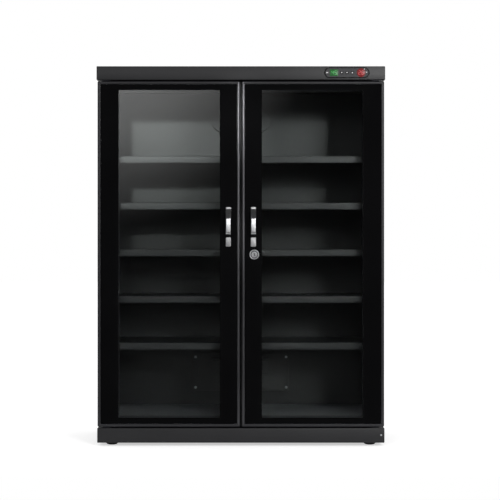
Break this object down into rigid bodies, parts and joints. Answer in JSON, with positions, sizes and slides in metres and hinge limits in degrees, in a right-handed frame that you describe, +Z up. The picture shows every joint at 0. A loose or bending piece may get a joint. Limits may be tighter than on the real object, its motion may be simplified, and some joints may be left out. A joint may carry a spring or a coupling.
{
  "type": "camera dry cabinet",
  "caption": "Free-standing electronic dry cabinet for cameras: glass doors on pivot hinges, slotted uprights with shelves, control panel, drying unit and key lock.",
  "frame": {"origin": "middle of the whole footprint, handles and rear bumpers included, at the foot of the rubber feet", "axes": "+X to the right seen from the front, the doors face -Y, +Z up"},
  "size_m": [0.83, 0.394, 1.0924],
  "materials": {
    "black_steel": "satin black powder coat",
    "grey_steel": "dark grey powder coat",
    "door_edge": "semi-gloss black edge",
    "glass": "clear float glass",
    "chrome": "bright chrome plate",
    "lock_core": "satin chrome plate",
    "zinc_steel": "bright zinc plate",
    "rubber": "matt black rubber",
    "gloss_black": "gloss black",
    "black_plastic": "matt black",
    "display_lens": "smoked and glossy",
    "green_display": "green digits on black",
    "red_display": "red digits on black",
    "circuit_board": "green solder mask",
    "ceramic": "white ceramic",
    "aluminium": "mill finish",
    "felt": "felt",
    "cable_sheath": "smooth sheath",
    "white_plastic": "white acetal"
  },
  "bodies": {
    "cabinet": {"left_side_panel": "black_steel", "right_side_panel": "black_steel", "back_panel": "black_steel", "ceiling_panel": "black_steel", "floor_panel": "black_steel", "front_frame": "black_steel", "top_cover": "black_steel", "base_plinth": "black_steel", "shelf_uprights": "black_steel", "shelf_1": "black_steel", "shelf_2": "black_steel", "shelf_3": "black_steel", "shelf_4": "black_steel", "shelf_5": "black_steel", "rear_vent_cover": "black_steel", "centre_post": "grey_steel", "plinth_screw": "zinc_steel", "rubber_feet": "rubber", "foot_screws": "zinc_steel", "shelf_clips": "zinc_steel", "control_bezel": "gloss_black", "display_lenses": "display_lens", "humidity_display": "green_display", "temperature_display": "red_display", "control_board": "circuit_board", "dryer_cover": "black_plastic", "cold_plate": "aluminium", "cooling_chip": "ceramic", "heat_sink": "aluminium", "drain_wick": "felt", "dryer_screws": "zinc_steel", "humidity_sensor": "black_plastic", "rear_cover_screws": "zinc_steel", "power_inlet": "black_plastic", "inlet_pins": "zinc_steel", "rear_bumpers": "rubber", "cable_channel": "black_plastic", "wiring_loom": "cable_sheath", "hinge_brackets": "zinc_steel"},
    "left_door": {"left_door_frame": "door_edge", "left_inner_frame": "black_steel", "left_glass": "glass", "left_door_seal": "rubber", "left_handle": "chrome", "left_handle_screws": "zinc_steel", "left_hinge_bushes": "white_plastic"},
    "right_door": {"right_door_frame": "door_edge", "right_inner_frame": "black_steel", "right_glass": "glass", "right_door_seal": "rubber", "right_handle": "chrome", "right_handle_screws": "zinc_steel", "right_hinge_bushes": "white_plastic", "lock_barrel": "chrome", "lock_nut": "zinc_steel"},
    "lock": {"lock_plug": "lock_core", "lock_cam": "zinc_steel"},
    "button_down": {"button_down": "gloss_black"},
    "button_set": {"button_set": "gloss_black"},
    "button_up": {"button_up": "gloss_black"}
  },
  "joints": [
    {"name": "left_door_swing", "type": "hinge", "parent": "cabinet", "child": "left_door", "pos_m": [-0.404, -0.161, 0.5524], "axis": [0, 0, -1], "range_deg": [0, 110]},
    {"name": "right_door_swing", "type": "hinge", "parent": "cabinet", "child": "right_door", "pos_m": [0.404, -0.161, 0.5524], "axis": [0, 0, 1], "range_deg": [0, 110]},
    {"name": "lock_turn", "type": "hinge", "parent": "right_door", "child": "lock", "pos_m": [0.0387, -0.173, 0.551], "axis": [0, 1, 0], "range_deg": [0, 90]},
    {"name": "button_down_press", "type": "slide", "parent": "cabinet", "child": "button_down", "axis": [0, 1, 0], "range_m": [0, 0.0008], "stiffness_N_per_m": 600},
    {"name": "button_set_press", "type": "slide", "parent": "cabinet", "child": "button_set", "axis": [0, 1, 0], "range_m": [0, 0.0008], "stiffness_N_per_m": 600},
    {"name": "button_up_press", "type": "slide", "parent": "cabinet", "child": "button_up", "axis": [0, 1, 0], "range_m": [0, 0.0008], "stiffness_N_per_m": 600}
  ]
}
